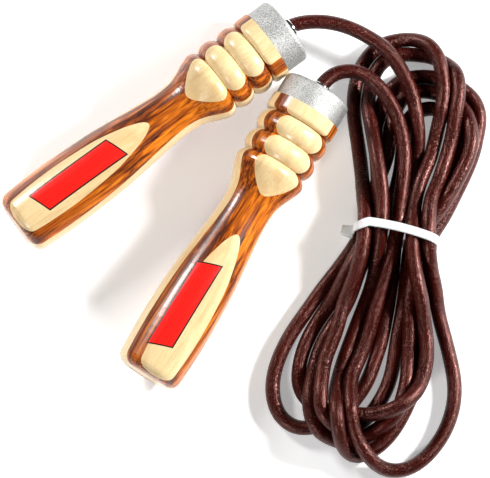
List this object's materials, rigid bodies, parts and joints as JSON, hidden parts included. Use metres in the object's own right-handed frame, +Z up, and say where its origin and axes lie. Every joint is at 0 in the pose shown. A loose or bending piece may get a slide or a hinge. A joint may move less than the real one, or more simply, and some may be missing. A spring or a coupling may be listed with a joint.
{
  "type": "jump rope",
  "caption": "Leather jump rope folded in a tied hank, with turned laminated wooden handles that spin on ball-bearing swivels under aluminium caps.",
  "frame": {"origin": "bottom centre of the box around the two handles, on the surface they lie on", "axes": "+Z up; +X from the handles towards the hank; +Y towards the ends of the handles where the rope comes out, along the hank"},
  "size_m": [0.2237, 0.2203, 0.0353],
  "materials": {
    "pale_wood": "varnished",
    "dark_wood": "varnished",
    "cap_aluminium": "blasted, matt",
    "bearing_steel": "ground",
    "bearing_balls": "polished",
    "cage_brass": "pressed",
    "sleeve_steel": "polished",
    "circlip_steel": "plain",
    "clamp_brass": "crimped",
    "rope_leather": "oiled, grained",
    "tie_nylon": "natural nylon, slightly translucent"
  },
  "bodies": {
    "rope": {"left_bearing_inner_race": "bearing_steel", "left_rope_sleeve": "sleeve_steel", "left_sleeve_circlip": "circlip_steel", "left_rope_clamp": "clamp_brass", "right_bearing_inner_race": "bearing_steel", "right_rope_sleeve": "sleeve_steel", "right_sleeve_circlip": "circlip_steel", "right_rope_clamp": "clamp_brass", "rope_left_lead": "rope_leather", "rope_right_lead": "rope_leather", "rope_hank": "rope_leather", "cable_tie": "tie_nylon"},
    "left_handle": {"left_core_lamination": "pale_wood", "left_upper_pale_butt_lamination": "pale_wood", "left_upper_pale_bead_lamination": "pale_wood", "left_lower_pale_butt_lamination": "pale_wood", "left_lower_pale_bead_lamination": "pale_wood", "left_upper_dark_lamination": "dark_wood", "left_lower_dark_lamination": "dark_wood", "left_cap": "cap_aluminium", "left_bearing_outer_race": "bearing_steel"},
    "left_ball_set": {"left_bearing_balls": "bearing_balls", "left_bearing_cage": "cage_brass"},
    "right_handle": {"right_core_lamination": "pale_wood", "right_upper_pale_butt_lamination": "pale_wood", "right_upper_pale_bead_lamination": "pale_wood", "right_lower_pale_butt_lamination": "pale_wood", "right_lower_pale_bead_lamination": "pale_wood", "right_upper_dark_lamination": "dark_wood", "right_lower_dark_lamination": "dark_wood", "right_cap": "cap_aluminium", "right_bearing_outer_race": "bearing_steel"},
    "right_ball_set": {"right_bearing_balls": "bearing_balls", "right_bearing_cage": "cage_brass"}
  },
  "joints": [
    {"name": "left_spin", "type": "hinge", "parent": "rope", "child": "left_handle", "pos_m": [0.04735, 0.07469, 0.01803], "axis": [0.8006, 0.599, 0.0143], "continuous": true},
    {"name": "left_ball_spin", "type": "hinge", "parent": "rope", "child": "left_ball_set", "pos_m": [0.04735, 0.07469, 0.01803], "axis": [0.8006, 0.599, 0.0143], "continuous": true},
    {"name": "right_spin", "type": "hinge", "parent": "rope", "child": "right_handle", "pos_m": [0.06352, 0.04412, 0.01803], "axis": [0.5135, 0.858, 0.0143], "continuous": true},
    {"name": "right_ball_spin", "type": "hinge", "parent": "rope", "child": "right_ball_set", "pos_m": [0.06352, 0.04412, 0.01803], "axis": [0.5135, 0.858, 0.0143], "continuous": true}
  ],
  "couplings": [
    {"joint": "left_ball_spin", "follows": "left_spin", "ratio": 0.6},
    {"joint": "right_ball_spin", "follows": "right_spin", "ratio": 0.6}
  ]
}
